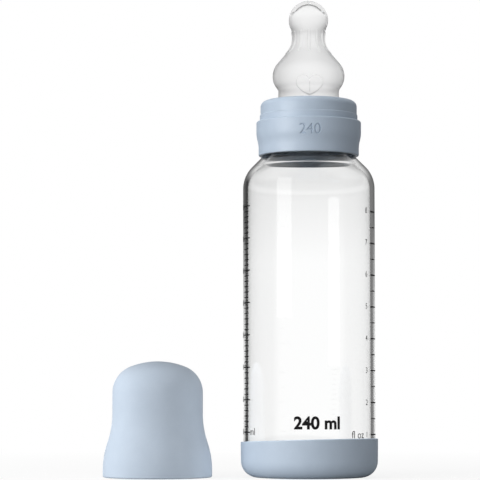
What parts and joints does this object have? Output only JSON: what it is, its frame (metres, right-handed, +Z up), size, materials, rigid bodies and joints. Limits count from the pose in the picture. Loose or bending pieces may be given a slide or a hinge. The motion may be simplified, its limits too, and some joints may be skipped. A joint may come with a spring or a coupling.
{
  "type": "baby bottle",
  "caption": "Clear glass feeding bottle in a soft base sleeve, with a screw collar that holds a ribbed vented teat, and a domed dust cap standing beside it.",
  "frame": {"origin": "centre of the base sleeve's flat bottom, on the bottle's axis, at the surface it stands on", "axes": "+Z up along the bottle's axis, the heart-shaped vent pad faces -Y, and the cap stands towards -X"},
  "size_m": [0.1178, 0.0588, 0.2058],
  "materials": {
    "sleeve_silicone": "matte",
    "clear_glass": "polished",
    "teat_silicone": "frosted",
    "collar_plastic": "satin",
    "cap_plastic": "satin"
  },
  "bodies": {
    "sleeve": {"base_sleeve": "sleeve_silicone"},
    "bottle": {"glass_bottle": "clear_glass"},
    "teat": {"teat": "teat_silicone"},
    "collar": {"collar_ring": "collar_plastic"},
    "cap": {"cap": "cap_plastic"}
  },
  "joints": [
    {"name": "bottle_lift_out", "type": "slide", "parent": "sleeve", "child": "bottle", "axis": [0, 0, 1], "range_m": [0, 0.03]},
    {"name": "teat_lift", "type": "slide", "parent": "bottle", "child": "teat", "axis": [0, 0, 1], "range_m": [0, 0.0076]},
    {"name": "collar_turn", "type": "hinge", "parent": "teat", "child": "collar", "pos_m": [0, 0, 0.15], "axis": [0, 0, 1], "range_deg": [0, 540]},
    {"name": "cap_lift", "type": "slide", "parent": "sleeve", "child": "cap", "axis": [0, 0, 1], "range_m": [0, 0.1]}
  ],
  "couplings": [
    {"joint": "teat_lift", "follows": "collar_turn", "m_per_rad": 0.00079577}
  ]
}
